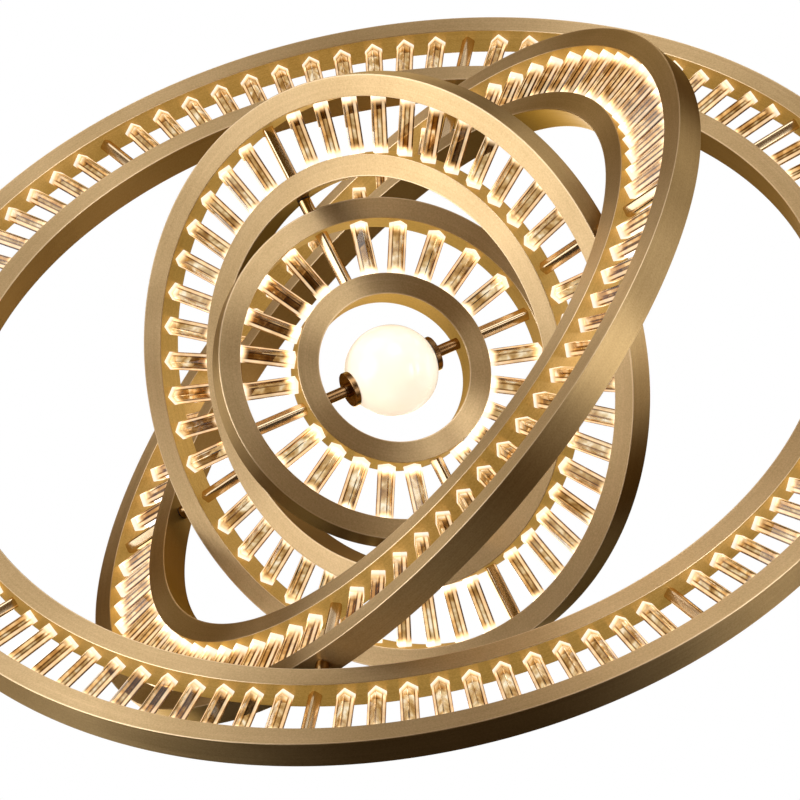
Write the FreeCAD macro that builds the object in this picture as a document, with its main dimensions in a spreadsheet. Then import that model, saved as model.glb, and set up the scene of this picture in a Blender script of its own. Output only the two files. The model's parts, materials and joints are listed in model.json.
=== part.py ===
import FreeCAD, Part
import math
import os
import Sketcher

# A hanging gimbal light of four concentric rings round an opal globe. Each ring is two hollow brass hoops
# with crystal bars between them, and turns on two pins held in the ring outside it. Ring 1 is the outermost.
# X is the hanging axis, to the right, and Y points away from the viewer. The origin is the globe's centre.

doc = FreeCAD.newDocument("gimbal_chandelier")
sheet = doc.addObject("Spreadsheet::Sheet", "Sizes")

SIZES = [
    # rings, from the globe outwards
    ("globe_radius", 52.5, "outside of the opal glass"),
    ("globe_gap", 33.5, "from the glass to the inside of ring 4"),
    ("ring_gap_3", 20.5, "from ring 4 to the inside of ring 3"),
    ("ring_gap_2", 17.0, "from ring 3 to the inside of ring 2"),
    ("ring_gap_1", 22.5, "from ring 2 to the inside of ring 1"),
    ("hoop_depth", 24.5, "radial depth of every hoop with its band"),
    ("hoop_margin", 5.9, "wall of a hoop either side of its sockets"),
    ("crystal_span", 64.5, "gap between a ring's two hoops"),
    ("sheet_wall", 1.5, "brass sheet of the hoops and bands"),
    ("edge_bevel", 0.6, "bevel on the visible edges"),
    # crystals and spacer bars
    ("crystal_side", 15.0, "side of a crystal bar's square section"),
    ("socket_play", 0.15, "gap round a crystal in its socket"),
    ("spacer_side", 13.0, "side of a brass spacer bar"),
    ("spacer_screw_radius", 2.5, "thread of a spacer screw"),
    ("spacer_screw_bite", 14.0, "how far a screw goes into the bar"),
    ("spacer_head_overhang", 2.0, "screw head beyond its thread"),
    ("spacer_head_height", 3.0, "height of that head"),
    # lamps in the hoops
    ("strip_width", 10.0, "width of an LED strip"),
    ("strip_thickness", 1.6, "thickness of an LED strip"),
    ("strip_gap", 0.1, "adhesive between strip and band"),
    ("strip_end_gap", 2.5, "from the end of a strip to a pivot's flange"),
    # pivots
    ("wire_bore_radius", 3.0, "bore of a pivot pin, for the wires"),
    ("journal_wall", 2.0, "wall of the turning part of a pin, and of its shank"),
    ("shoulder_width", 2.5, "visible shoulder of a pin beyond its journal"),
    ("running_clearance", 0.05, "between a journal and its bush"),
    ("fit_clearance", 0.05, "between pieces fixed together"),
    ("bush_wall", 2.0, "wall of a bush"),
    ("bush_proud", 1.0, "how far a bush stands out of its wall"),
    ("flange_width", 2.5, "flange of a bush beyond its sleeve"),
    ("flange_thickness", 2.0, "thickness of that flange"),
    ("face_gap", 0.3, "end play between faces that turn on each other"),
    ("washer_thickness", 1.0, "friction washer"),
    ("collar_wall", 3.5, "wall of a retaining collar"),
    ("collar_length", 5.0, "length of the collar"),
    ("pin_tip", 1.0, "thread beyond a collar or nut"),
    ("nut_wall", 3.0, "wall of a nut at its flats"),
    ("nut_height", 5.0, "height of a pin nut"),
    # hanger blocks
    ("hanger_gap", 22.0, "from ring 1 to the hanger block"),
    ("block_length", 28.0, "hanger block along X"),
    ("block_wall", 10.0, "block round its bush, to the sides and below"),
    ("block_web", 12.0, "block between its bush and the suspension hole"),
    ("block_bevel", 2.0, "bevel on its edges"),
    ("suspension_hole_radius", 4.25, "tapping size of an M10 thread"),
    ("suspension_hole_depth", 20.0, "depth of that blind hole"),
    # globe
    ("glass_wall", 3.0, "thickness of the glass"),
    ("globe_mouth_radius", 13.0, "hole at each pole"),
    ("cap_overlap", 7.0, "bronze cap beyond the hole"),
    ("cap_rim", 5.5, "height of the cap's rim"),
    ("cap_hub_wall", 5.0, "wall of the cap's hub"),
    ("cap_hub_length", 7.0, "hub beyond the glass"),
    ("seal_thickness", 1.0, "seal between cap and glass"),
    ("seal_width", 3.0, "width of the seal's face"),
    ("tube_wall", 3.0, "wall of the tube inside the globe"),
    ("lamp_entry_gap", 2.0, "round the lamp core as it goes in through the hole"),
    ("lamp_length", 56.0, "length of the lamp core"),
    ("rod_bore_radius", 1.5, "bore of a rod from ring 4 to a cap, for the wires"),
    ("rod_wall", 1.5, "wall of the rod at its threads"),
    ("rod_shoulder", 3.5, "rod beyond its threads"),
    ("rod_grip", 7.0, "how far a rod goes into the tube"),
    ("rod_nut_height", 4.0, "height of a rod nut"),
    # how far each ring is turned in the one outside it
    ("turn_1", 47.3, "degrees"),
    ("turn_2", -36.6, "degrees"),
    ("turn_3", 49.9, "degrees"),
    ("turn_4", 55.9, "degrees"),
    ("overrun", 2.0, "how far a cutting tool runs past a face"),
]

RINGS = (1, 2, 3, 4)
POSITIONS = {1: 96, 2: 72, 3: 48, 4: 24}
SPACERS = {1: 8, 2: 4, 3: 4, 4: 4}
# Ring 1 hangs on X, and each ring's own pins are square to those of the ring outside it.
PIN_QUARTERS = {1: 0, 2: 1, 3: 0, 4: 1}
FULL_TURN = 360.0
QUARTER_TURN = 90.0
EIGHTH_TURN = 45.0
HEXAGON_SIDES = 6
HALF_SIDE_ANGLE = FULL_TURN / 2 / HEXAGON_SIDES


class Size:
    """A length worked out from the sheet: its value, and the expression that keeps it up to date."""

    def __init__(self, text, value):
        self.text = text
        self.value = value

    def __add__(self, other):
        return Size(f"({self.text} + {other.text})", self.value + other.value)

    def __sub__(self, other):
        return Size(f"({self.text} - {other.text})", self.value - other.value)

    def __neg__(self):
        return Size(f"(-{self.text})", -self.value)

    def half(self):
        return Size(f"({self.text} / 2)", self.value / 2)

    def diagonal(self):
        """The diagonal of a square of this side."""
        return Size(f"({self.text} * sqrt(2))", self.value * math.sqrt(2))

    def hexagon_corner(self):
        """The corner radius of a hexagon whose flats lie at this radius."""
        value = self.value / math.cos(math.radians(HALF_SIDE_ANGLE))
        return Size(f"({self.text} / cos({HALF_SIDE_ANGLE}))", value)

    def leg(self, side):
        """The other leg of a right triangle whose long side is this size."""
        value = math.sqrt(self.value * self.value - side.value * side.value)
        return Size(f"sqrt({self.text} * {self.text} - {side.text} * {side.text})", value)


def fill_sheet():
    named = {}
    for row, (name, value, note) in enumerate(SIZES, start=1):
        sheet.set(f"A{row}", name)
        sheet.set(f"B{row}", str(value))
        sheet.set(f"C{row}", note)
        sheet.setAlias(f"B{row}", name)
        named[name] = Size(f"Sizes.{name}", value)
    doc.recompute()
    return named


S = fill_sheet()
WALL = S["sheet_wall"]
FIT = S["fit_clearance"]
HOOP_WIDTH = S["crystal_side"].diagonal() + S["hoop_margin"] + S["hoop_margin"]
JOURNAL = S["wire_bore_radius"] + S["journal_wall"]
JOURNAL_HOLE = JOURNAL + S["running_clearance"]
BUSH_RADIUS = JOURNAL_HOLE + S["bush_wall"]
FLANGE_RADIUS = BUSH_RADIUS + S["flange_width"]
ROD_THREAD = S["rod_bore_radius"] + S["rod_wall"]


def ring_radii(ring):
    """A ring's four radii: its outside, the two faces that its crystals bridge, and its inside."""
    if ring == max(RINGS):
        inside = S["globe_radius"] + S["globe_gap"]
    else:
        inside = ring_radii(ring + 1)[0] + S[f"ring_gap_{ring}"]
    inner_face = inside + S["hoop_depth"]
    outer_face = inner_face + S["crystal_span"]
    return outer_face + S["hoop_depth"], outer_face, inner_face, inside


def add_frames():
    """One placement object per ring: its turn on its pins, after the turns of the rings outside it."""
    axes = ("vector(1; 0; 0)", "vector(0; 1; 0)")
    for ring in RINGS:
        frame = doc.addObject("App::Placement", f"ring_{ring}_frame")
        axis = axes[PIN_QUARTERS[ring]]
        turn = f"placement(vector(0; 0; 0); rotation({axis}; Sizes.turn_{ring}))"
        before = f"ring_{ring - 1}_frame.Placement * " if ring > min(RINGS) else ""
        frame.setExpression("Placement", before + turn)
    doc.recompute()


def place(piece, ring, quarters=0):
    """Turns a piece with its ring, after quarter turns about the ring's own axis."""
    text = f"ring_{ring}_frame.Placement"
    if quarters:
        text += f" * placement(vector(0; 0; 0); rotation(vector(0; 0; 1); {QUARTER_TURN * quarters}))"
    piece.setExpression("Placement", text)


def origin_plane(body, role):
    return next(f for f in body.Origin.OriginFeatures if f.Role == role)


def pin_coordinate(sketch, along, point, size):
    """Fixes one coordinate of a sketch point to a size, either side of the origin."""
    if size.value > 0:
        index = sketch.addConstraint(Sketcher.Constraint(along, -1, 1, point, 1, size.value))
        sketch.setExpression(f"Constraints[{index}]", size.text)
    else:
        index = sketch.addConstraint(Sketcher.Constraint(along, point, 1, -1, 1, -size.value))
        sketch.setExpression(f"Constraints[{index}]", f"-{size.text}")


def outline(body, role, points):
    """A closed outline in one of the body's origin planes, every corner bound to the sheet."""
    sketch = body.newObject("Sketcher::SketchObject", f"{body.Name}_outline")
    sketch.AttachmentSupport = (origin_plane(body, role), [""])
    sketch.MapMode = "FlatFace"
    corners = [FreeCAD.Vector(x.value, y.value, 0) for x, y in points]
    for start, end in zip(corners, corners[1:] + corners[:1]):
        sketch.addGeometry(Part.LineSegment(start, end), False)
    count = len(points)
    for side in range(count):
        sketch.addConstraint(Sketcher.Constraint("Coincident", side, 2, (side + 1) % count, 1))
    for side, (x, y) in enumerate(points):
        pin_coordinate(sketch, "DistanceX", side, x)
        pin_coordinate(sketch, "DistanceY", side, y)
    return sketch


def turned(name, points, axis):
    """A body of revolution. Its outline lies in the XZ plane: V_Axis is Z, H_Axis is X."""
    body = doc.addObject("PartDesign::Body", name)
    sketch = outline(body, "XZ_Plane", points)
    spin = body.newObject("PartDesign::Revolution", f"{name}_spin")
    spin.Profile = sketch
    spin.ReferenceAxis = (sketch, [axis])
    spin.Angle = FULL_TURN
    return body


def along_x(start):
    """The placement that lays a cylinder or prism along X from a station."""
    return f"placement(vector({start.text}; 0; 0); rotation(vector(0; 1; 0); {QUARTER_TURN}))"


def cylinder(name, radius, start, end):
    """A cylinder along X from one station to the other."""
    tool = doc.addObject("Part::Cylinder", name)
    tool.setExpression("Radius", radius.text)
    tool.setExpression("Height", (end - start).text)
    tool.setExpression("Placement", along_x(start))
    return tool


def compound(name, pieces):
    group = doc.addObject("Part::Compound", name)
    group.Links = pieces
    return group


def pair(name, piece):
    """The piece and its mirror image at the other end of the X axis."""
    other = doc.addObject("Part::Mirroring", f"{name}_other")
    other.Source = piece
    other.Normal = (1, 0, 0)
    return compound(name, [piece, other])


def cut(name, base, tool):
    result = doc.addObject("Part::Cut", name)
    result.Base = base
    result.Tool = tool
    return result


def spread(name, shape, angles):
    """Copies of a shape turned about the ring's axis, as one group of separate solids."""
    group = doc.addObject("Part::Feature", name)
    copies = []
    for angle in angles:
        copy = shape.copy()
        copy.rotate(FreeCAD.Vector(0, 0, 0), FreeCAD.Vector(0, 0, 1), angle)
        copies.append(copy)
    group.Shape = Part.makeCompound(copies)
    return group


def diamond_bar(side, start, end, bevel):
    """A square bar along X, set with one corner up, its long edges bevelled."""
    half = side.value / 2
    bar = Part.makeBox(end.value - start.value, side.value, side.value)
    if bevel:
        long_edges = [edge for edge in bar.Edges if edge.BoundBox.XLength > side.value]
        bar = bar.makeChamfer(bevel.value, long_edges)
    bar.translate(FreeCAD.Vector(start.value, -half, -half))
    bar.rotate(FreeCAD.Vector(0, 0, 0), FreeCAD.Vector(1, 0, 0), EIGHTH_TURN)
    return bar


def straight_bar(radius, start, end):
    """A plain round bar along X from one station to the other."""
    length = end.value - start.value
    return Part.makeCylinder(radius.value, length, FreeCAD.Vector(start.value, 0, 0), FreeCAD.Vector(1, 0, 0))


def spacer_angles(ring):
    return [FULL_TURN * place_number / SPACERS[ring] for place_number in range(SPACERS[ring])]


def crystal_angles(ring):
    per_spacer = POSITIONS[ring] // SPACERS[ring]
    return [FULL_TURN * n / POSITIONS[ring] for n in range(POSITIONS[ring]) if n % per_spacer]


def channel_outline(web, open_end):
    """A channel's section: the web at one radius and the flanges out to the other."""
    half = HOOP_WIDTH.half()
    bevel = S["edge_bevel"]
    outward = open_end.value > web.value
    wall = WALL if outward else -WALL
    step = bevel if outward else -bevel
    return [
        (web, -half + bevel),
        (web, half - bevel),
        (web + step, half),
        (open_end, half),
        (open_end, half - WALL),
        (web + wall, half - WALL),
        (web + wall, -half + WALL),
        (open_end, -half + WALL),
        (open_end, -half),
        (web + step, -half),
    ]


def band_outline(face, back):
    """A band's section, with bevels at its visible face."""
    half = HOOP_WIDTH.half()
    bevel = S["edge_bevel"]
    step = -bevel if face.value > back.value else bevel
    return [
        (back, -half),
        (face + step, -half),
        (face, -half + bevel),
        (face, half - bevel),
        (face + step, half),
        (back, half),
    ]


def strip_outline(low, high):
    half = S["strip_width"].half()
    return [(low, -half), (high, -half), (high, half), (low, half)]


def ring_hoops(ring):
    """Both hoops with their sockets, both bands with their pivot holes, and the two LED strips."""
    outside, outer_face, inner_face, inside = ring_radii(ring)
    name = f"ring_{ring}"
    over = S["overrun"]
    socket_side = S["crystal_side"] + S["socket_play"] + S["socket_play"]
    socket = diamond_bar(socket_side, inner_face - WALL - over, outer_face + WALL + over, None)
    sockets = spread(f"{name}_sockets", socket, crystal_angles(ring))
    hole = straight_bar(S["spacer_screw_radius"] + FIT, inner_face - WALL - over, outer_face + WALL + over)
    screw_holes = spread(f"{name}_screw_holes", hole, spacer_angles(ring))
    hoop_tools = compound(f"{name}_hoop_tools", [sockets, screw_holes])

    outer_channel = turned(f"{name}_outer_channel", channel_outline(outer_face, outside - WALL), "V_Axis")
    inner_channel = turned(f"{name}_inner_channel", channel_outline(inner_face, inside + WALL), "V_Axis")
    outer_hoop = cut(f"{name}_outer_hoop", outer_channel, hoop_tools)
    inner_hoop = cut(f"{name}_inner_hoop", inner_channel, hoop_tools)

    # The outer band is drilled for the ring's own pins, and the inner band for what the ring carries.
    own = PIN_QUARTERS[ring]
    carried = 1 - own
    is_last = ring == max(RINGS)
    seat_radius = (ROD_THREAD if is_last else BUSH_RADIUS) + FIT
    outer_plain = turned(f"{name}_outer_plain", band_outline(outside, outside - WALL), "V_Axis")
    inner_plain = turned(f"{name}_inner_plain", band_outline(inside, inside + WALL), "V_Axis")
    pin_hole = cylinder(f"{name}_pin_hole", JOURNAL + FIT, -outside - over, outside + over)
    seat_hole = cylinder(f"{name}_seat_hole", seat_radius, -inside - WALL - over, inside + WALL + over)
    turn_tool(pin_hole, own)
    turn_tool(seat_hole, carried)
    outer_band = cut(f"{name}_outer_band", outer_plain, pin_hole)
    inner_band = cut(f"{name}_inner_band", inner_plain, seat_hole)

    strip = S["strip_thickness"]
    outer_back = outside - WALL - S["strip_gap"]
    inner_back = inside + WALL + S["strip_gap"]
    outer_strip = turned(f"{name}_outer_strip", strip_outline(outer_back - strip, outer_back), "V_Axis")
    inner_strip = turned(f"{name}_inner_strip", strip_outline(inner_back, inner_back + strip), "V_Axis")
    break_radius = FLANGE_RADIUS + S["strip_end_gap"]
    outer_break = cylinder(f"{name}_outer_break", break_radius, -outside, outside)
    inner_break = cylinder(f"{name}_inner_break", break_radius, -inner_face, inner_face)
    turn_tool(outer_break, own)
    turn_tool(inner_break, carried)
    outer_arcs = cut(f"{name}_outer_arcs", outer_strip, outer_break)
    inner_arcs = cut(f"{name}_inner_arcs", inner_strip, inner_break)
    strips = compound(f"{name}_led_strips", [outer_arcs, inner_arcs])
    return [outer_hoop, inner_hoop, outer_band, inner_band, strips]


def turn_tool(tool, quarters):
    """Turns a cylinder that lies along X by quarter turns about Z."""
    if quarters:
        text = dict(tool.ExpressionEngine)["Placement"]
        turn = f"placement(vector(0; 0; 0); rotation(vector(0; 0; 1); {QUARTER_TURN * quarters}))"
        tool.setExpression("Placement", f"{turn} * {text}")


def ring_bars(ring):
    """The crystal bars, the brass spacer bars coped to both hoops, and the screws that hold the spacers."""
    outer_face, inner_face = ring_radii(ring)[1:3]
    name = f"ring_{ring}"
    crystal = diamond_bar(S["crystal_side"], inner_face - WALL, outer_face + WALL, S["edge_bevel"])
    crystals = spread(f"{name}_crystals", crystal, crystal_angles(ring))

    over = S["overrun"]
    bar = diamond_bar(S["spacer_side"], inner_face - over, outer_face + over, S["edge_bevel"])
    low = FreeCAD.Vector(0, 0, -HOOP_WIDTH.value)
    gap_outer = Part.makeCylinder(outer_face.value, (HOOP_WIDTH + HOOP_WIDTH).value, low)
    gap_inner = Part.makeCylinder(inner_face.value, (HOOP_WIDTH + HOOP_WIDTH).value, low)
    bar = bar.common(gap_outer.cut(gap_inner))
    tap = S["spacer_screw_radius"] + FIT
    bite = S["spacer_screw_bite"] + over
    bar = bar.cut(straight_bar(tap, inner_face - over, inner_face + bite))
    bar = bar.cut(straight_bar(tap, outer_face - bite, outer_face + over))
    bars = spread(f"{name}_spacer_bars", bar, spacer_angles(ring))

    thread = S["spacer_screw_radius"]
    head = thread + S["spacer_head_overhang"]
    outer_seat = outer_face + WALL
    inner_seat = (inner_face - WALL).leg(head)
    outer_screw = straight_bar(head, outer_seat, outer_seat + S["spacer_head_height"]).fuse(
        straight_bar(thread, outer_face - S["spacer_screw_bite"], outer_seat))
    inner_screw = straight_bar(head, inner_seat - S["spacer_head_height"], inner_seat).fuse(
        straight_bar(thread, inner_seat, inner_face + S["spacer_screw_bite"]))
    both_screws = Part.makeCompound([outer_screw, inner_screw])
    screws = spread(f"{name}_spacer_screws", both_screws, spacer_angles(ring))
    return [crystals, bars, screws]


def hexagon(name, flats_radius, start, height, bore):
    """A hexagon nut on the X axis, from a station inwards."""
    prism = doc.addObject("Part::Prism", f"{name}_prism")
    prism.Polygon = HEXAGON_SIDES
    prism.setExpression("Circumradius", flats_radius.hexagon_corner().text)
    prism.setExpression("Height", height.text)
    base = start - height
    prism.setExpression("Placement", along_x(base))
    hole = cylinder(f"{name}_hole", bore, base - S["overrun"], start + S["overrun"])
    return cut(f"{name}_one", prism, hole)


def sleeve(name, radius, bore, start, end):
    """A plain sleeve round the X axis."""
    return turned(name, [(start, bore), (end, bore), (end, radius), (start, radius)], "H_Axis")


def pivot(ring):
    """The pins of one ring with their nuts, washers and collars, and the bushes that they turn in."""
    name = f"ring_{ring}"
    outside = ring_radii(ring)[0]
    if ring == min(RINGS):
        face = outside + S["hanger_gap"]
        seat = S["block_length"]
    else:
        face = ring_radii(ring - 1)[3]
        seat = WALL
    fixed_hole = JOURNAL + FIT
    shoulder = JOURNAL + S["shoulder_width"]
    bush_end = face + seat + S["flange_thickness"]
    washer_end = face - S["bush_proud"] - S["face_gap"]
    washer_start = washer_end - S["washer_thickness"]
    collar_start = bush_end + S["face_gap"]
    pin_end = collar_start + S["collar_length"] + S["pin_tip"]
    nut_flats = fixed_hole + S["nut_wall"]
    nut_start = (outside - WALL).leg(nut_flats.hexagon_corner())
    shank_start = nut_start - S["nut_height"] - S["pin_tip"]
    bevel = S["edge_bevel"]

    pin = turned(f"{name}_pivot_pin", [
        (shank_start, S["wire_bore_radius"]),
        (pin_end, S["wire_bore_radius"]),
        (pin_end, JOURNAL),
        (washer_start, JOURNAL),
        (washer_start, shoulder - bevel),
        (washer_start - bevel, shoulder),
        (outside + bevel, shoulder),
        (outside, shoulder - bevel),
        (outside, JOURNAL),
        (shank_start, JOURNAL),
    ], "H_Axis")
    washer = sleeve(f"{name}_pivot_washer", shoulder, fixed_hole, washer_start, washer_end)
    collar = sleeve(f"{name}_pivot_collar", fixed_hole + S["collar_wall"], fixed_hole, collar_start,
                    collar_start + S["collar_length"])
    bush = turned(f"{name}_pivot_bush", [
        (face - S["bush_proud"], JOURNAL_HOLE),
        (bush_end, JOURNAL_HOLE),
        (bush_end, FLANGE_RADIUS),
        (face + seat, FLANGE_RADIUS),
        (face + seat, BUSH_RADIUS),
        (face - S["bush_proud"], BUSH_RADIUS),
    ], "H_Axis")
    nut = hexagon(f"{name}_pivot_nut", nut_flats, nut_start, S["nut_height"], fixed_hole)

    quarters = PIN_QUARTERS[ring]
    own = []
    for label, piece in (("pins", pin), ("washers", washer), ("collars", collar), ("nuts", nut)):
        both = pair(f"{name}_pivot_{label}", piece)
        place(both, ring, quarters)
        own.append(both)
    bushes = pair(f"{name}_pivot_bushes", bush)
    if ring > min(RINGS):
        place(bushes, ring - 1, quarters)
    return own + [bushes]


def hanger_blocks():
    """Two brass blocks that carry ring 1's pins, each with a threaded hole in its top for the suspension."""
    start = ring_radii(min(RINGS))[0] + S["hanger_gap"]
    reach = BUSH_RADIUS + S["block_wall"]
    hole_bottom = BUSH_RADIUS + S["block_web"]
    blank = doc.addObject("Part::Box", "hanger_block_blank")
    blank.setExpression("Length", S["block_length"].text)
    blank.setExpression("Width", (reach + reach).text)
    blank.setExpression("Height", (reach + hole_bottom + S["suspension_hole_depth"]).text)
    corner = f"vector({start.text}; {(-reach).text}; {(-reach).text})"
    blank.setExpression("Placement", f"placement({corner}; rotation(vector(0; 0; 1); 0))")
    doc.recompute()
    bevelled = doc.addObject("Part::Chamfer", "hanger_block_bevelled")
    bevelled.Base = blank
    bevel = S["block_bevel"].value
    bevelled.Edges = [(number, bevel, bevel) for number, edge in enumerate(blank.Shape.Edges, start=1)]
    over = S["overrun"]
    bore = cylinder("hanger_block_bore", BUSH_RADIUS + FIT, start - over, start + S["block_length"] + over)
    hole = doc.addObject("Part::Cylinder", "hanger_block_suspension_hole")
    hole.setExpression("Radius", S["suspension_hole_radius"].text)
    hole.setExpression("Height", (S["suspension_hole_depth"] + over).text)
    middle = start + S["block_length"].half()
    bottom = f"vector({middle.text}; 0; {hole_bottom.text})"
    hole.setExpression("Placement", f"placement({bottom}; rotation(vector(0; 0; 1); 0))")
    tools = compound("hanger_block_tools", [bore, hole])
    return pair("hanger_blocks", cut("hanger_block_one", bevelled, tools))


def globe():
    """The opal globe between its two caps, the lamp inside, and the rods to ring 4."""
    ring = max(RINGS)
    inside = ring_radii(ring)[3]
    radius = S["globe_radius"]
    mouth = S["globe_mouth_radius"]
    over = S["overrun"]
    bevel = S["edge_bevel"]
    seal_outer = mouth + S["seal_width"]
    seat = radius.leg(mouth) + S["seal_thickness"]
    cap_radius = mouth + S["cap_overlap"]
    rim_low = radius.leg(cap_radius) + S["seal_thickness"]
    rim_high = rim_low + S["cap_rim"]
    rod_hole = ROD_THREAD + FIT
    hub = rod_hole + S["cap_hub_wall"]
    hub_end = radius + S["cap_hub_length"]
    tube_radius = rod_hole + S["tube_wall"]

    glass_outer = doc.addObject("Part::Sphere", "globe_outer")
    glass_outer.setExpression("Radius", radius.text)
    glass_inner = doc.addObject("Part::Sphere", "globe_inner")
    glass_inner.setExpression("Radius", (radius - S["glass_wall"]).text)
    mouths = cylinder("globe_mouths", mouth, -radius - over, radius + over)
    glass = cut("globe_glass", glass_outer, compound("globe_hollow", [glass_inner, mouths]))

    seal = sleeve("globe_seal", seal_outer, mouth, radius.leg(mouth), seat)
    cap = turned("globe_cap", [
        (seat, rod_hole),
        (hub_end, rod_hole),
        (hub_end, hub),
        (rim_high + bevel, hub),
        (rim_high + bevel, cap_radius - bevel),
        (rim_high, cap_radius),
        (rim_low, cap_radius),
        (seat, seal_outer + S["seal_thickness"]),
    ], "H_Axis")
    tube = sleeve("globe_tube", tube_radius, rod_hole, -seat, seat)
    half_lamp = S["lamp_length"].half()
    lamp = sleeve("lamp_core", mouth - S["lamp_entry_gap"], tube_radius + FIT, -half_lamp, half_lamp)

    shoulder = ROD_THREAD + S["rod_shoulder"]
    shoulder_end = inside - S["face_gap"]
    nut_end = inside + WALL + S["rod_nut_height"]
    rod_start = seat - S["rod_grip"]
    rod_end = nut_end + S["pin_tip"]
    rod = turned("globe_rod", [
        (rod_start, S["rod_bore_radius"]),
        (rod_end, S["rod_bore_radius"]),
        (rod_end, ROD_THREAD),
        (shoulder_end, ROD_THREAD),
        (shoulder_end, shoulder),
        (hub_end, shoulder),
        (hub_end, ROD_THREAD),
        (rod_start, ROD_THREAD),
    ], "H_Axis")
    nut = hexagon("globe_rod_nut", rod_hole + S["nut_wall"], nut_end, S["rod_nut_height"], rod_hole)
    pieces = [glass, pair("globe_seals", seal), pair("globe_caps", cap), tube, lamp,
              pair("globe_rods", rod), pair("globe_rod_nuts", nut)]
    for piece in pieces:
        place(piece, ring, 1 - PIN_QUARTERS[ring])
    return pieces


def build():
    add_frames()
    pieces = []
    for ring in RINGS:
        ring_pieces = ring_hoops(ring) + ring_bars(ring)
        doc.recompute()
        for piece in ring_pieces:
            place(piece, ring)
        pieces += ring_pieces + pivot(ring)
    pieces.append(hanger_blocks())
    pieces += globe()
    doc.recompute()
    return pieces


def check(pieces):
    for thing in doc.Objects:
        bad = [word for word in thing.State if word in ("Invalid", "Error")]
        if bad:
            raise RuntimeError(f"{thing.Name}: {bad}")
    for piece in pieces:
        if piece.Shape.isNull() or not piece.Shape.isValid() or not piece.Shape.Solids:
            raise RuntimeError(f"{piece.Name}: shape is missing or not valid")


def export(pieces):
    os.makedirs("parts", exist_ok=True)
    for piece in pieces:
        piece.Label = piece.Name
        piece.Shape.exportStep(os.path.join("parts", f"{piece.Name}.step"))
        print(piece.Name, len(piece.Shape.Solids), round(piece.Shape.Volume))


PIECES = build()
check(PIECES)
export(PIECES)
print(len(PIECES), "nodes")
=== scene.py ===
import json
import math

import bmesh
import bpy
from mathutils import Matrix, Vector


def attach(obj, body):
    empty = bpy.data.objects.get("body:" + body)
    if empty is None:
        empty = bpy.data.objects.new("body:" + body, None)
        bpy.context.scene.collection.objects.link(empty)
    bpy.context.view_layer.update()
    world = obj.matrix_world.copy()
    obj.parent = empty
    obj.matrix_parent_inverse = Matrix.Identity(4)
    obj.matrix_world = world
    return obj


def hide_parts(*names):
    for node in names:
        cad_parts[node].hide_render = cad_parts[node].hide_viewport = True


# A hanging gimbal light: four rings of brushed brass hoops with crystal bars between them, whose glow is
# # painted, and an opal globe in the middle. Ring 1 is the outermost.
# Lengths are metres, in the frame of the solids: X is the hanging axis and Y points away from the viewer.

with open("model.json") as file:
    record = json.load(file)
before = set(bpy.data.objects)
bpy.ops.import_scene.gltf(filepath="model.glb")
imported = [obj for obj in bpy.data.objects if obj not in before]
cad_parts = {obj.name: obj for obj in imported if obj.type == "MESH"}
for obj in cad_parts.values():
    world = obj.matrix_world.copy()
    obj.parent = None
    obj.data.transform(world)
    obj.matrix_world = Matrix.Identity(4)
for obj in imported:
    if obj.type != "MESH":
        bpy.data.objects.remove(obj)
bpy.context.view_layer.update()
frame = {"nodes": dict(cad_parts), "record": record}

MM = 0.001
RINGS = (1, 2, 3, 4)
# Places round each ring. The first place of each group holds a spacer bar, and the others hold crystals.
PLACES = {1: 96, 2: 72, 3: 48, 4: 24}
SPACERS = {1: 8, 2: 4, 3: 4, 4: 4}
# Each ring's pins lie on this axis of the ring outside it, and it is turned on them by this many degrees.
PIN_AXIS = {1: "X", 2: "Y", 3: "X", 4: "Y"}
TURN = {1: 47.3, 2: -36.6, 3: 49.9, 4: 55.9}

SHEET_WALL = 1.5 * MM
EDGE_BEVEL = 0.6 * MM
CRYSTAL_SIDE = 15.0 * MM
CRYSTAL_BEVEL = 0.7 * MM
SPACER_ROUND = 3.0 * MM
PIN_CLEARANCE = 0.05 * MM
GLOBE_WALL = 3.0 * MM

# Steps round a spacer bar's edge, round a hoop, round a small piece, and from pole to pole of the globe.
SPACER_STEPS = 4
HOOP_STEPS = 360
SMALL_STEPS = 48
GLOBE_STEPS = 48
SHARP_ANGLE = math.radians(25)
# The least remainder that fills every place of a group, or every place but its first.
ALL_PLACES = -0.5
ALL_BUT_FIRST = 0.5

# How strongly a painted glow shows on the walls with the crystals' sockets, and how strongly painted light
# from the middle shows on each ring's inner band. These faces are also painted darker as shade.
WALL_PAINTED_GLOW = 0.8
BAND_PAINTED_GLOW = {1: 0.15, 2: 0.1, 3: 0.05, 4: 0.85}
# How far the painted white glow at a crystal's inner and outer end reaches.
CAP_REACH = {
    1: (12.0 * MM, 12.0 * MM),
    2: (17.0 * MM, 10.0 * MM),
    3: (8.0 * MM, 12.0 * MM),
    4: (3.0 * MM, 12.0 * MM),
}

# The camera's direction from the object, round to the right and above level, its distance, and the point that
# it looks at.
VIEW_AZIMUTH = math.radians(13.29)
VIEW_ELEVATION = math.radians(-5.12)
VIEW_DISTANCE = 7.791
VIEW_TARGET = Vector((0.0089, 0.0046, -0.0313))
LENS = 316.2
SENSOR = 36.0

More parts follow.
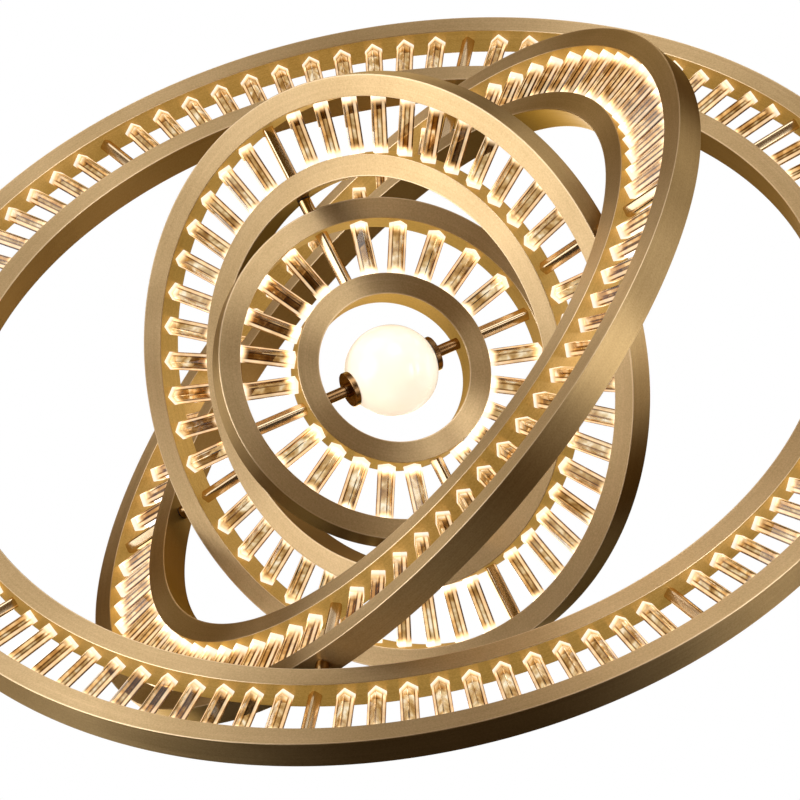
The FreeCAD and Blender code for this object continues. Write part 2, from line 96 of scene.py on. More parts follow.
# Soft lights far round the object: direction, half angle in degrees and strength.
SOFT_LIGHTS = (
    ((-0.70, -0.71, 0.10), 30, 3.9),
    ((0.28, -0.57, 0.77), 20, 3.2),
    ((-0.53, -0.32, 0.78), 30, 1.6),
    ((0.95, -0.30, 0.06), 20, 4.8),
    ((-1.0, -0.09, 0.0), 20, 1.8),
    ((-0.25, 0.94, -0.22), 20, 3.5),
    ((0.22, -0.16, 0.96), 20, 1.0),
    ((-0.36, 0.66, 0.66), 20, 1.2),
    ((-0.30, 0.84, -0.44), 20, 3.3),
    ((0.44, 0.38, 0.81), 20, 1.3),
    ((0.82, -0.10, 0.56), 20, 1.4),
    ((-0.75, -0.38, -0.54), 20, 1.4),
    ((0.90, -0.42, -0.08), 30, 0.8),
    ((-0.38, 0.92, -0.08), 20, 2.2),
    ((0.80, 0.55, 0.20), 30, 1.2),
    ((0.20, 0.70, -0.70), 30, 1.2),
)
LIGHT_COLOUR = (1.0, 0.98, 0.94)
ROOM_COLOUR = (0.11, 0.055, 0.004)
# What shows through the glass: the brown room at its sides, and white behind it. One gives way to the other
# between these shares of a ray's direction along Y.
BESIDE_GLASS = (0.46, 0.3, 0.13, 1.0)
BEHIND_GLASS = (1.06, 1.06, 1.04, 1.0)
GLASS_CHANGE = (0.45, 0.97)
# Soft boxes aimed at the middle: name, place, width, height and watts.
SOFT_BOXES = (
    ("softbox_left", (-3.4, -2.0, -0.9), 1.6, 2.4, 8),
    ("softbox_right", (2.6, -2.8, 2.2), 1.4, 1.4, 2),
    ("softbox_top", (-0.9, 0.3, 3.2), 1.8, 1.8, 5),
)
SOFT_BOX_COLOUR = (1.0, 0.94, 0.86)
FLOOR_HEIGHT = -1.45
FLOOR_RADIUS = 2.2
# How much whiter the floor is for the camera than its paint looks in the dim room.
FLOOR_LIFT = (0.2, 0.25, 0.3, 1.0)


# Frames and sizes from the solids

def ring_frame(ring):
    """A ring's own frame, turned as the ring is: its Z axis is the ring's axis."""
    outside = ring_frame(ring - 1) if ring > min(RINGS) else Matrix.Identity(4)
    return outside @ Matrix.Rotation(math.radians(TURN[ring]), 4, PIN_AXIS[ring])


X_TO_Z = Matrix.Rotation(math.radians(90), 4, "Y")
Y_TO_Z = Matrix.Rotation(math.radians(-90), 4, "X")
FRAME = {ring: ring_frame(ring) for ring in RINGS}
GLOBE_FRAME = FRAME[max(RINGS)] @ X_TO_Z


def pin_frame(ring):
    """A frame whose Z axis runs along a ring's own pins."""
    outside = FRAME[ring - 1] if ring > min(RINGS) else Matrix.Identity(4)
    return outside @ (X_TO_Z if PIN_AXIS[ring] == "X" else Y_TO_Z)


def extent(node, matrix):
    """A node's least and greatest radius from the frame's Z axis, and its least and greatest distance from
    the frame's middle along that axis."""
    inverse = matrix.inverted()
    points = [inverse @ v.co for v in frame["nodes"][node].data.vertices]
    radii = [math.hypot(p.x, p.y) for p in points]
    heights = [abs(p.z) for p in points]
    return min(radii), max(radii), min(heights), max(heights)


# Materials

def srgb(red, green, blue):
    """A colour as it shows on screen, 0 to 255, as the shader's linear colour."""
    def linear(value):
        share = value / 255
        return share / 12.92 if share <= 0.04045 else ((share + 0.055) / 1.055) ** 2.4
    return linear(red), linear(green), linear(blue), 1.0


BLACK, WHITE = (0.0, 0.0, 0.0, 1.0), (1.0, 1.0, 1.0, 1.0)
# Brass keeps its colour where it is seen at a grazing angle.
EDGE_TINT = srgb(236, 212, 168)
# Brush marks in a metre: along a hoop, in both directions of its plane, and across its faces.
FINE_BRUSH = (6.0, 6.0, 900.0)
BROAD_BRUSH = (2.5, 2.5, 210.0)


def add_node(tree, kind, inputs=None, **settings):
    """A node whose inputs, by name or number, get plain values or other nodes' outputs."""
    node = tree.nodes.new(kind)
    for setting, value in settings.items():
        setattr(node, setting, value)
    for socket, value in (inputs or {}).items():
        if isinstance(value, bpy.types.NodeSocket):
            tree.links.new(value, node.inputs[socket])
        else:
            node.inputs[socket].default_value = value
    return node


class ShaderTree:
    """Short ways to write a shader's nodes. Each returns the output that is used."""

    def __init__(self, tree):
        self.tree = tree

    def add(self, kind, inputs=None, **settings):
        return add_node(self.tree, "ShaderNode" + kind, inputs, **settings).outputs

    def place(self):
        """The place on the object, in metres."""
        return self.add("TexCoord")["Object"]

    def attribute(self, name, output="Fac"):
        """What a piece's mesh says at each place under this name, as a number or as a vector."""
        return self.add("Attribute", attribute_name=name)[output]

    def noise(self, vector, scale, detail=3.0, roughness=0.5):
        inputs = {"Vector": vector, "Scale": scale, "Detail": detail, "Roughness": roughness}
        return self.add("TexNoise", inputs)["Fac"]

    def scaled(self, vector, scale):
        return self.add("VectorMath", {0: vector, 1: scale}, operation="MULTIPLY")[0]

    def ramp(self, factor, stops):
        """Colours that blend from one (place, colour) stop to the next."""
        node = add_node(self.tree, "ShaderNodeValToRGB", {"Fac": factor})
        elements = node.color_ramp.elements
        while len(elements) > 1:
            elements.remove(elements[-1])
        for index, (place, colour) in enumerate(stops):
            element = elements[0] if index == 0 else elements.new(place)
            element.position = place
            element.color = colour
        return node.outputs["Color"]

    def span(self, value, low, high, to_low=0.0, to_high=1.0, smooth=False):
        """The value between low and high, spread from to_low to to_high and held at both ends."""
        inputs = {"Value": value, "From Min": low, "From Max": high, "To Min": to_low, "To Max": to_high}
        kind = "SMOOTHSTEP" if smooth else "LINEAR"
        return self.add("MapRange", inputs, interpolation_type=kind)["Result"]

    def maths(self, operation, first, second=0.0):
        return self.add("Math", {0: first, 1: second}, operation=operation)[0]

    def sum_of(self, *parts):
        """The sum of several values, each times its share."""
        total, *others = [self.maths("MULTIPLY", value, share) for value, share in parts]
        for other in others:
            total = self.maths("ADD", total, other)
        return total

    def mix(self, factor, first, second, blend="MIX"):
        inputs = {"Factor": factor, 6: first, 7: second}
        return self.add("Mix", inputs, data_type="RGBA", blend_type=blend)[2]


class Finish(ShaderTree):
    """A procedural material round one Principled shader."""

    def __init__(self, name, **sockets):
        self.material = bpy.data.materials.new(name)
        self.material.use_nodes = True
        super().__init__(self.material.node_tree)
        self.shader = self.tree.nodes["Principled BSDF"]
        for socket, value in sockets.items():
            self.shader.inputs[socket.replace("_", " ")].default_value = value

    def feed(self, socket, output):
        self.tree.links.new(output, self.shader.inputs[socket])

    def bump(self, height, strength, distance):
        inputs = {"Height": height, "Strength": strength, "Distance": distance}
        self.feed("Normal", self.add("Bump", inputs)["Normal"])


def brushed_brass(name, light, dark):
    """Satin brass: fine brush lines along the hoop that spread its highlights across, slow tone changes of
    the lacquer, edges painted paler as wear and as a painted highlight, and a painted golden glow on the
    faces that the lamps inside light up, where the brass is also painted darker as shade."""
    finish = Finish(name, Metallic=1.0, Anisotropic=0.92, Specular_Tint=EDGE_TINT, Emission_Strength=1.0)
    grain = finish.attribute("grain", "Vector")
    lines = finish.noise(finish.scaled(grain, FINE_BRUSH), scale=1.0, detail=4.0, roughness=0.7)
    broad = finish.noise(finish.scaled(grain, BROAD_BRUSH), scale=1.0, detail=3.0, roughness=0.6)
    clouds = finish.noise(finish.place(), scale=5.0, detail=3.0, roughness=0.6)
    specks = finish.noise(finish.place(), scale=520.0, detail=2.0, roughness=0.6)
    marks = finish.sum_of((lines, 0.25), (broad, 0.15), (specks, 0.35), (clouds, 0.45))
    tone = finish.span(marks, 0.42, 0.78)

    # Painted shade and painted glow: the faces that the lamps inside light up are painted darker, and a
    # golden
    # # glow is painted on them.
    painted_glow = finish.attribute("painted_glow")
    inside = finish.maths("MULTIPLY", finish.maths("GREATER_THAN", painted_glow, 0.0), 0.8)
    colour = finish.mix(inside, finish.ramp(tone, [(0.0, dark), (1.0, light)]), srgb(118, 84, 38))
    painted_glow_gold = finish.ramp(tone, [(0.0, srgb(126, 94, 36)), (1.0, srgb(186, 148, 76))])
    finish.feed("Emission Color", finish.mix(painted_glow, BLACK, painted_glow_gold))

    # The bevels are painted paler: partly wear, partly a painted highlight along the edges.
    wear_and_highlight = finish.maths("MULTIPLY", finish.attribute("edge"), 0.65)
    finish.feed("Base Color", finish.mix(wear_and_highlight, colour, srgb(255, 232, 196)))
    finish.feed("Roughness", finish.span(lines, 0.3, 0.7, 0.37, 0.47))
    finish.feed("Tangent", finish.add("Tangent", direction_type="UV_MAP", uv_map="brush")["Tangent"])
    finish.bump(lines, 0.06, 0.4 * MM)
    return finish.material


def turned_metal(name, light, dark, roughness):
    """Metal turned on a lathe or milled: no brush direction, faint tool marks and handling marks."""
    finish = Finish(name, Metallic=1.0, Specular_Tint=EDGE_TINT)
    marks = finish.noise(finish.place(), scale=900.0, detail=2.0, roughness=0.6)
    clouds = finish.noise(finish.place(), scale=30.0, detail=3.0, roughness=0.6)
    tone = finish.span(finish.sum_of((marks, 0.35), (clouds, 0.65)), 0.3, 0.7)
    finish.feed("Base Color", finish.ramp(tone, [(0.0, dark), (1.0, light)]))
    finish.feed("Roughness", finish.span(marks, 0.3, 0.7, roughness - 0.04, roughness + 0.08))
    finish.bump(marks, 0.04, 0.2 * MM)
    return finish.material


def lit_crystal():
    """Clear cut glass with the lamps' light painted in: a painted white glow where it enters the hoops, and a
    painted cream glow on strips along its sides, with painted dark lines beside them. Painted brown and cream
    clouds of the room show in its clear middle."""
    finish = Finish("crystal_glass", Roughness=0.03, IOR=1.5, Transmission_Weight=1.0, Emission_Strength=1.0)
    place = finish.add("SeparateXYZ", {0: finish.attribute("bar_place", "Vector")})
    along, depth = place["X"], finish.maths("ABSOLUTE", place["Z"])
    # From 0 at the corners that point to the next bars to 1 at those that point along the ring's axis.
    rise = finish.span(depth, 0.0, CRYSTAL_SIDE / math.sqrt(2))
    # Painted shade and painted refraction: dark lines and brown strips along the bar's sides stand for what
    # its faces refract; the glass itself is clear.
    clear, dark, strip = srgb(255, 248, 232), srgb(96, 66, 32), srgb(120, 88, 50)
    glass = finish.ramp(rise, [
        (0.10, dark),
        (0.14, strip),
        (0.32, strip),
        (0.35, dark),
        (0.43, dark),
        (0.48, clear),
        (0.93, clear),
        (0.99, strip),
    ])
    # Painted refraction: brown and cream clouds of the room, painted into the glass's colour.
    clouds = finish.noise(finish.place(), scale=55.0, detail=2.0, roughness=0.6)
    room = finish.ramp(clouds, [(0.4, srgb(142, 104, 56)), (0.5, srgb(206, 170, 118)), (0.62, clear)])
    finish.feed("Base Color", finish.mix(1.0, glass, room, "MULTIPLY"))

    # Painted glow: cream light along the side strips, and white light at both ends where the bar enters the
    # hoops.
    side = finish.ramp(rise, [(0.09, BLACK), (0.14, WHITE), (0.31, WHITE), (0.36, BLACK)])
    streaks = finish.noise(finish.place(), scale=90.0, detail=2.0)
    shine = finish.maths("MULTIPLY", side, finish.span(along, 0.0, 4.0, 0.72, 0.56))
    shine = finish.maths("MULTIPLY", shine, finish.span(streaks, 0.3, 0.7, 0.82, 1.1))
    cap = finish.span(along, 0.15, 1.0, 1.0, 0.0, smooth=True)
    finish.feed("Emission Color", finish.ramp(finish.maths("MAXIMUM", shine, cap), [
        (0.0, BLACK),
        (0.3, (0.34, 0.22, 0.11, 1.0)),
        (0.6, (0.8, 0.57, 0.32, 1.0)),
        (1.0, (1.0, 0.94, 0.8, 1.0)),
    ]))
    return finish.material


def opal_glass():
    """White glass that is lit from inside, with a polished skin."""
    finish = Finish("opal_glass", Roughness=0.22, IOR=1.5, Coat_Weight=0.5, Coat_Roughness=0.04,
                    Emission_Strength=0.68)
    milk = finish.noise(finish.place(), scale=26.0, detail=2.0)
    finish.feed("Base Color", finish.ramp(milk, [(0.3, srgb(226, 216, 200)), (0.7, srgb(236, 228, 214))]))
    finish.feed("Emission Color", finish.ramp(milk, [(0.3, srgb(255, 240, 218)), (0.7, srgb(255, 247, 230))]))
    return finish.material


def plain_finish(name, light, dark, roughness, glow=0.0):
    """A mottled plain finish for small hidden pieces, of which the lamps glow."""
    finish = Finish(name, Roughness=roughness, Emission_Strength=glow)
    mottle = finish.noise(finish.place(), scale=220.0, detail=2.0)
    colour = finish.ramp(mottle, [(0.3, dark), (0.7, light)])
    finish.feed("Base Color", colour)
    if glow:
        finish.feed("Emission Color", colour)
    return finish.material


LOOKS = {
    "hoop_brass": brushed_brass("hoop_brass", srgb(224, 198, 156), srgb(178, 152, 110)),
    # The bands' brass is the hoops' brass painted darker: painted shade on the hoops' walls.
    "band_brass": brushed_brass("band_brass", srgb(194, 168, 124), srgb(154, 128, 86)),
    "pivot_brass": turned_metal("pivot_brass", srgb(226, 194, 146), srgb(182, 148, 100), 0.14),
    "spacer": turned_metal("spacer_brass", srgb(232, 212, 182), srgb(196, 172, 136), 0.17),
    "bush": turned_metal("bush_brass", srgb(190, 152, 92), srgb(150, 112, 60), 0.3),
    "bronze": turned_metal("bronze", srgb(170, 136, 96), srgb(114, 86, 56), 0.2),
    "fastener": turned_metal("plated_steel", srgb(200, 198, 192), srgb(160, 158, 152), 0.3),
    "crystal": lit_crystal(),
    "opal_glass": opal_glass(),
    "washer": plain_finish("washer_plastic", srgb(38, 36, 34), srgb(26, 25, 24), 0.6),
    "led_strip": plain_finish("led_strip", srgb(255, 244, 214), srgb(240, 226, 190), 0.5, glow=1.0),
    "lamp": plain_finish("lamp_core", srgb(255, 246, 226), srgb(246, 234, 206), 0.5, glow=1.0),
}


# Objects and meshes

def put(name, data):
    """A new object in the scene."""
    thing = bpy.data.objects.new(name, data)
    bpy.context.scene.collection.objects.link(thing)
    return thing


def piece(name, mesh, slot, body, node):
    """A finished piece: its slot, which names its look too, the body that it rides on, and the solid that it
    stands for."""
    thing = put(name, mesh)
    mesh.materials.clear()
    mesh.materials.append(LOOKS[slot])
    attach(thing, body)
    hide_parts(node)


def dress_solids():
    """Solids that stay as they are get their look by the slot that the record gives them."""
    slots = {entry["node"]: entry["material_slot"] for entry in frame["record"]["subparts"]}
    for name, thing in frame["nodes"].items():
        thing.data.materials.clear()
        thing.data.materials.append(LOOKS[slots[name]])


def finished_mesh(name, shape):
    """A built shape as a mesh, with sharp edges where its faces meet at a clear angle."""
    mesh = bpy.data.meshes.new(name)
    shape.to_mesh(mesh)
    shape.free()
    mesh.set_sharp_from_angle(angle=SHARP_ANGLE)
    return mesh


# Turned pieces

# What a face of a turned piece is: plain, a bevel painted pale as wear and as a painted highlight, or a face
# # with a painted glow and painted shade for the lamps inside.
PLAIN, WEAR_AND_HIGHLIGHT, PAINTED_GLOW_FACE = range(3)


def lathe_mesh(name, outline, steps, matrix, light=0.0):
    """Spins a closed outline of (radius, height, kind) corners about Z. The kind is that of the face after
    the corner, and the light is the strength of the painted glow on its glowing faces. For the looks, brush
    and grain hold how far a place lies along the outline and round the axis, edge marks the bevels that are
    painted pale as wear and as a highlight, and a third attribute holds the strength of the painted glow."""
    count = len(outline)
    mean_radius = sum(r for r, _, _ in outline) / count
    runs = [0.0]
    for (r0, z0, _), (r1, z1, _) in zip(outline, outline[1:] + outline[:1]):
        runs.append(runs[-1] + math.hypot(r1 - r0, z1 - z0))
    shape = bmesh.new()
    rings = []
    for step in range(steps):
        angle = 2 * math.pi * step / steps
        cosine, sine = math.cos(angle), math.sin(angle)
        rings.append([shape.verts.new((r * cosine, r * sine, z)) for r, z, _ in outline])
    brush = shape.loops.layers.uv.new("brush")
    grain = shape.loops.layers.float_vector.new("grain")
    edge = shape.loops.layers.float.new("edge")
    painted_glow = shape.loops.layers.float.new("painted_glow")
    for step in range(steps):
        here, there = rings[step], rings[(step + 1) % steps]
        for corner, (_, _, kind) in enumerate(outline):
            after = (corner + 1) % count
            face = shape.faces.new((here[corner], there[corner], there[after], here[after]))
            face.smooth = True
            for loop in face.loops:
                on_next = loop.vert in (there[corner], there[after])
                far_end = loop.vert in (here[after], there[after])
                angle = 2 * math.pi * (step + on_next) / steps
                run = runs[corner + far_end]
                loop[brush].uv = (run, angle * mean_radius)
                loop[grain] = (mean_radius * math.cos(angle), mean_radius * math.sin(angle), run)
                loop[edge] = kind == WEAR_AND_HIGHLIGHT
                loop[painted_glow] = light * (kind == PAINTED_GLOW_FACE)
    bmesh.ops.recalc_face_normals(shape, faces=shape.faces)
    mesh = finished_mesh(name, shape)
    mesh.transform(matrix)
    return mesh


def both_ends(name, outline, matrix):
    """A small turned piece and its twin at the other end of the axis, as one mesh."""
    shape = bmesh.new()
    for turn in (Matrix.Identity(4), Matrix.Rotation(math.pi, 4, "X")):
        mesh = lathe_mesh(name, outline, SMALL_STEPS, matrix @ turn)
        shape.from_mesh(mesh)
        bpy.data.meshes.remove(mesh)
    return finished_mesh(name, shape)


def channel(web, open_end, half):
    """A hoop's channel: its web at one radius, its two flanges, and the bevels at the web's edges."""
    out = 1 if open_end > web else -1
    bevel, wall = EDGE_BEVEL * out, SHEET_WALL * out
    return [
        # The web's face, round the crystals' sockets, gets a painted glow and painted shade.
        (web, -half + EDGE_BEVEL, PAINTED_GLOW_FACE),
        (web, half - EDGE_BEVEL, WEAR_AND_HIGHLIGHT),
        (web + bevel, half, PLAIN),
        (open_end, half, PLAIN),
        (open_end, half - SHEET_WALL, PLAIN),
        (web + wall, half - SHEET_WALL, PLAIN),
        (web + wall, -half + SHEET_WALL, PLAIN),
        (open_end, -half + SHEET_WALL, PLAIN),
        (open_end, -half, PLAIN),
        (web + bevel, -half, WEAR_AND_HIGHLIGHT),
    ]


def band(face, back, half):
    """The strip that closes a hoop, with bevels at its visible face. The face of an inner one gets a painted
    glow and painted shade for the light from the middle."""
    inside = back > face
    step = EDGE_BEVEL if inside else -EDGE_BEVEL
    return [
        (back, -half, WEAR_AND_HIGHLIGHT),
        (face + step, -half, WEAR_AND_HIGHLIGHT),
        (face, -half + EDGE_BEVEL, PAINTED_GLOW_FACE if inside else PLAIN),
        (face, half - EDGE_BEVEL, WEAR_AND_HIGHLIGHT),
        (face + step, half, WEAR_AND_HIGHLIGHT),
        (back, half, PLAIN),
    ]


def make_hoops(ring):
    """A ring's two hoops, whose webs face each other, and the two bands that close them."""
    matrix, body = FRAME[ring], f"ring_{ring}"
    for side in ("outer", "inner"):
        hoop, strip = f"ring_{ring}_{side}_hoop", f"ring_{ring}_{side}_band"
        low, high, _, half = extent(hoop, matrix)
        web, open_end = (low, high) if side == "outer" else (high, low)
        mesh = lathe_mesh(hoop, channel(web, open_end, half), HOOP_STEPS, matrix, WALL_PAINTED_GLOW)
        piece(f"{hoop}_brushed", mesh, "hoop_brass", body, hoop)
        low, high, _, half = extent(strip, matrix)
        face, back = (high, low) if side == "outer" else (low, high)
        mesh = lathe_mesh(strip, band(face, back, half), HOOP_STEPS, matrix, BAND_PAINTED_GLOW[ring])
        piece(f"{strip}_brushed", mesh, "band_brass", body, strip)


def plain_sleeve(low, high, start, end):
    """A plain sleeve's outline."""
    return [(low, start, PLAIN), (high, start, PLAIN), (high, end, PLAIN), (low, end, PLAIN)]


def bevelled_sleeve(low, high, start, end):
    """A sleeve's outline with bevels on its outside corners, marked to be painted pale as wear and as a
    highlight.
    """
    return [
        (low, start, PLAIN),
        (high - EDGE_BEVEL, start, WEAR_AND_HIGHLIGHT),
        (high, start + EDGE_BEVEL, PLAIN),
        (high, end - EDGE_BEVEL, WEAR_AND_HIGHLIGHT),
        (high - EDGE_BEVEL, end, PLAIN),
        (low, end, PLAIN),
    ]


def pivot_pin(bore, journal, shoulder, start, outside, shoulder_end, end):
    """A hollow pin's outline: its journal, and the shoulder between the hoop's outside and the washer."""
    return [
        (bore, start, PLAIN),
        (journal, start, PLAIN),
        (journal, outside, PLAIN),
        (shoulder - EDGE_BEVEL, outside, WEAR_AND_HIGHLIGHT),
        (shoulder, outside + EDGE_BEVEL, PLAIN),
        (shoulder, shoulder_end - EDGE_BEVEL, WEAR_AND_HIGHLIGHT),
        (shoulder - EDGE_BEVEL, shoulder_end, PLAIN),
        (journal, shoulder_end, PLAIN),
        (journal, end - EDGE_BEVEL, WEAR_AND_HIGHLIGHT),
        (journal - EDGE_BEVEL, end, PLAIN),
        (bore, end, PLAIN),
    ]


def make_pivot(ring):
    """A ring's pins, washers and collars, smooth where the solids have facets."""
    matrix, body = pin_frame(ring), f"ring_{ring}"
    pins, washers, collars = (f"ring_{ring}_pivot_{part}" for part in ("pins", "washers", "collars"))
    outside = extent(f"ring_{ring}_outer_band", FRAME[ring])[1]
    bore, shoulder, start, end = extent(pins, matrix)
    washer, collar = extent(washers, matrix), extent(collars, matrix)
    outline = pivot_pin(bore, washer[0] - PIN_CLEARANCE, shoulder, start, outside, washer[2], end)
    piece(f"{pins}_turned", both_ends(pins, outline, matrix), "pivot_brass", body, pins)
    mesh = both_ends(washers, plain_sleeve(*washer), matrix)
    piece(f"{washers}_round", mesh, "washer", body, washers)
    mesh = both_ends(collars, bevelled_sleeve(*collar), matrix)
    piece(f"{collars}_turned", mesh, "pivot_brass", body, collars)


def make_globe():
    """The opal globe, a shell that is open at both poles."""
    mouth, outside, _, _ = extent("globe_glass", GLOBE_FRAME)

    def arc(radius):
        first = math.asin(mouth / radius)
        angles = [first + (math.pi - 2 * first) * step / GLOBE_STEPS for step in range(GLOBE_STEPS + 1)]
        return [(radius * math.sin(angle), radius * math.cos(angle), PLAIN) for angle in angles]

    outline = arc(outside) + arc(outside - GLOBE_WALL)[::-1]
    mesh = lathe_mesh("globe", outline, 2 * GLOBE_STEPS, GLOBE_FRAME)
    piece("globe_glass_opal", mesh, "opal_glass", "ring_4", "globe_glass")


# Bars between the hoops

def bar_mesh(name, start, end, side, radius, steps, caps=(1.0, 1.0)):
    """A square bar along X, one corner up, its long edges rounded in steps. bar_place holds the distance from
    the nearer hoop's wall, as a share of the painted glow's reach at that end, the place across and the
    depth."""
    reach = side / math.sqrt(2)
    centre = reach - radius * math.sqrt(2)
    corners = []
    for quarter in range(4):
        turn = Matrix.Rotation(math.pi / 2 * quarter, 2)
        for step in range(steps + 1):
            angle = math.pi / 2 * (step / steps - 0.5)
            corners.append(turn @ Vector((centre + radius * math.cos(angle), radius * math.sin(angle))))
    shape = bmesh.new()
    rows = [[shape.verts.new((x, c.x, c.y)) for c in corners] for x in (start, (start + end) / 2, end)]
    for here, there in zip(rows, rows[1:]):
        for corner in range(len(corners)):
            after = (corner + 1) % len(corners)
            face = shape.faces.new((here[corner], here[after], there[after], there[corner]))
            face.smooth = steps > 1
    shape.faces.new(rows[0])
    shape.faces.new(rows[-1])
    bmesh.ops.recalc_face_normals(shape, faces=shape.faces)
    mesh = finished_mesh(name, shape)
    place = mesh.attributes.new("bar_place", "FLOAT_VECTOR", "POINT")
    for vertex, data in zip(mesh.vertices, place.data):
        from_inner = (vertex.co.x - start - SHEET_WALL) / caps[0]
        from_outer = (end - vertex.co.x - SHEET_WALL) / caps[1]
        data.vector = (min(from_inner, from_outer), vertex.co.y, vertex.co.z)
    return mesh


def array_tree(look):
    """Geometry nodes: copies of a bar round the ring's axis. A place is filled where its number, divided by
    the count per group, leaves more than the least remainder."""
    tree = bpy.data.node_groups.new("bars_round_a_ring", "GeometryNodeTree")
    face = tree.interface
    face.new_socket("Geometry", in_out="INPUT", socket_type="NodeSocketGeometry")
    face.new_socket("Places", in_out="INPUT", socket_type="NodeSocketInt")
    face.new_socket("Per group", in_out="INPUT", socket_type="NodeSocketInt")
    face.new_socket("Least remainder", in_out="INPUT", socket_type="NodeSocketFloat")
    face.new_socket("Geometry", in_out="OUTPUT", socket_type="NodeSocketGeometry")

    def add(kind, inputs=None, **settings):
        return add_node(tree, kind, inputs, **settings).outputs

    given = add("NodeGroupInput")
    places = add("GeometryNodePoints", {"Count": given["Places"]})[0]
    number = add("GeometryNodeInputIndex")[0]
    share = add("ShaderNodeMath", {0: number, 1: given["Places"]}, operation="DIVIDE")[0]
    angle = add("ShaderNodeMath", {0: share, 1: 2 * math.pi}, operation="MULTIPLY")[0]
    turn = add("ShaderNodeCombineXYZ", {"Z": angle})[0]
    remainder = add("ShaderNodeMath", {0: number, 1: given["Per group"]}, operation="FLOORED_MODULO")[0]
    sizes = {"A": remainder, "B": given["Least remainder"]}
    filled = add("FunctionNodeCompare", sizes, data_type="FLOAT", operation="GREATER_THAN")["Result"]
    bars = add("GeometryNodeInstanceOnPoints", {
        "Points": places, "Selection": filled, "Instance": given["Geometry"], "Rotation": turn})[0]
    real = add("GeometryNodeRealizeInstances", {0: bars})[0]
    painted = add("GeometryNodeSetMaterial", {"Geometry": real, "Material": LOOKS[look]})[0]
    add("NodeGroupOutput", {0: painted})
    return tree


def arrayed(mesh, tree, matrix, **sizes):
    """The mesh copied by a tree, as one plain mesh in its place."""
    thing = put("array", mesh)
    modifier = thing.modifiers.new("array", "NODES")
    modifier.node_group = tree
    identifiers = {s.name: s.identifier for s in tree.interface.items_tree if s.in_out == "INPUT"}
    for name, value in sizes.items():
        modifier[identifiers[name.replace("_", " ")]] = value
    bpy.context.view_layer.update()
    depsgraph = bpy.context.evaluated_depsgraph_get()
    whole = bpy.data.meshes.new_from_object(thing.evaluated_get(depsgraph))
    bpy.data.objects.remove(thing)
    whole.transform(matrix)
    return whole


def make_crystals(ring, tree):
    """A ring's crystals, each from inside one hoop's wall to inside the other's."""
    matrix, node = FRAME[ring], f"ring_{ring}_crystals"
    start = extent(f"ring_{ring}_inner_hoop", matrix)[1] - SHEET_WALL
    end = extent(f"ring_{ring}_outer_hoop", matrix)[0] + SHEET_WALL
    bar = bar_mesh("crystal", start, end, CRYSTAL_SIDE, CRYSTAL_BEVEL, 1, CAP_REACH[ring])
    group = PLACES[ring] // SPACERS[ring]
    whole = arrayed(bar, tree, matrix, Places=PLACES[ring], Per_group=group, Least_remainder=ALL_BUT_FIRST)
    piece(f"{node}_cut_glass", whole, "crystal", f"ring_{ring}", node)


def make_spacers(ring, tree):
    """The brass bars that tie the hoops, their long edges rounded and polished."""
    matrix, node = FRAME[ring], f"ring_{ring}_spacer_bars"
    start, corner, _, reach = extent(node, matrix)
    end = math.sqrt(corner ** 2 - reach ** 2)
    bar = bar_mesh("spacer", start, end, reach * math.sqrt(2), SPACER_ROUND, SPACER_STEPS)
    count = SPACERS[ring]
    whole = arrayed(bar, tree, matrix, Places=count, Per_group=count, Least_remainder=ALL_PLACES)
    piece(f"{node}_polished", whole, "spacer", f"ring_{ring}", node)


# Stage, lights and camera

def aim(thing, direction):
    """Turns a lamp or the camera to look along a direction."""
    thing.rotation_mode = "QUATERNION"
    thing.rotation_quaternion = direction.to_track_quat("-Z", "Y")


def add_stage():
    """A pale round floor well below the light. Metal sees it dark, as it sees the rest of the room."""
    shape = bmesh.new()
    bmesh.ops.create_circle(shape, cap_ends=True, radius=FLOOR_RADIUS, segments=SMALL_STEPS)
    mesh = finished_mesh("floor", shape)
    mesh.transform(Matrix.Translation((0, 0, FLOOR_HEIGHT)))
    floor = put("floor", mesh)
    finish = Finish("floor_paint", Roughness=0.9, Emission_Strength=1.0)
    mottle = finish.noise(finish.place(), scale=3.0)
    paint = finish.ramp(mottle, [(0.3, srgb(246, 246, 246)), (0.7, srgb(250, 250, 250))])
    rays = finish.add("LightPath")
    finish.feed("Base Color", finish.mix(rays["Is Glossy Ray"], paint, srgb(60, 54, 46)))
    finish.feed("Emission Color", finish.mix(rays["Is Camera Ray"], BLACK, FLOOR_LIFT))
    mesh.materials.append(finish.material)


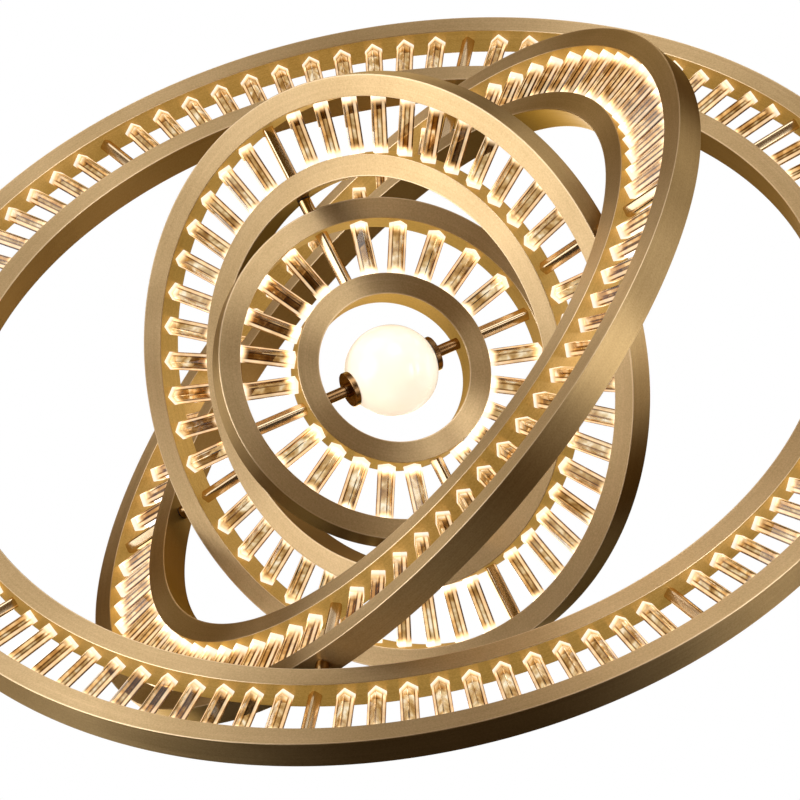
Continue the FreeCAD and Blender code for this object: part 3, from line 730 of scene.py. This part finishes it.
def add_world():
    """White behind the object, also through the glass. Its light and the metal's reflections come from soft
    lights in a dim warm room."""
    world = bpy.data.worlds.new("studio")
    bpy.context.scene.world = world
    world.use_nodes = True
    world.node_tree.nodes.clear()
    studio = ShaderTree(world.node_tree)
    rays = studio.add("LightPath")
    direction = studio.add("TexCoord")["Generated"]
    light = 0.0
    for place, spread, strength in SOFT_LIGHTS:
        inputs = {0: direction, 1: Vector(place).normalized()}
        towards = studio.add("VectorMath", inputs, operation="DOT_PRODUCT")["Value"]
        near = studio.span(towards, math.cos(math.radians(spread)), 1.0, 0.0, strength, smooth=True)
        light = studio.maths("ADD", near, light)
    tinted = studio.add("VectorMath", {0: LIGHT_COLOUR, "Scale": light}, operation="SCALE")[0]
    room = studio.add("VectorMath", {0: tinted, 1: ROOM_COLOUR}, operation="ADD")[0]
    depth = studio.maths("ABSOLUTE", studio.add("SeparateXYZ", {0: direction})["Y"])
    ahead = studio.span(depth, *GLASS_CHANGE, smooth=True)
    through_glass = studio.mix(ahead, BESIDE_GLASS, BEHIND_GLASS)
    colour = studio.mix(rays["Is Transmission Ray"], room, through_glass)
    colour = studio.mix(rays["Is Camera Ray"], colour, WHITE)
    background = studio.add("Background", {"Color": colour, "Strength": 1.0})[0]
    studio.add("OutputWorld", {"Surface": background})


def add_soft_boxes():
    """Weak lamps near the object, which soften its shadows."""
    for name, place, width, height, power in SOFT_BOXES:
        lamp = bpy.data.lights.new(name, "AREA")
        lamp.shape = "RECTANGLE"
        lamp.size = width
        lamp.size_y = height
        lamp.energy = power
        lamp.color = SOFT_BOX_COLOUR
        thing = put(name, lamp)
        thing.location = place
        aim(thing, -Vector(place))


def add_camera():
    """The photograph's view, from a little below the object's middle."""
    camera = bpy.data.cameras.new("camera")
    camera.lens = LENS
    camera.sensor_width = SENSOR
    thing = put("camera", camera)
    back = Vector((
        math.sin(VIEW_AZIMUTH) * math.cos(VIEW_ELEVATION),
        -math.cos(VIEW_AZIMUTH) * math.cos(VIEW_ELEVATION),
        math.sin(VIEW_ELEVATION),
    ))
    thing.location = VIEW_TARGET + back * VIEW_DISTANCE
    aim(thing, -back)
    bpy.context.scene.camera = thing


add_camera()
dress_solids()
crystal_tree = array_tree("crystal")
spacer_tree = array_tree("spacer")
for number in RINGS:
    make_hoops(number)
    make_crystals(number, crystal_tree)
    make_spacers(number, spacer_tree)
    make_pivot(number)
make_globe()
add_stage()
add_world()
add_soft_boxes()
bpy.context.scene.view_settings.view_transform = "Standard"
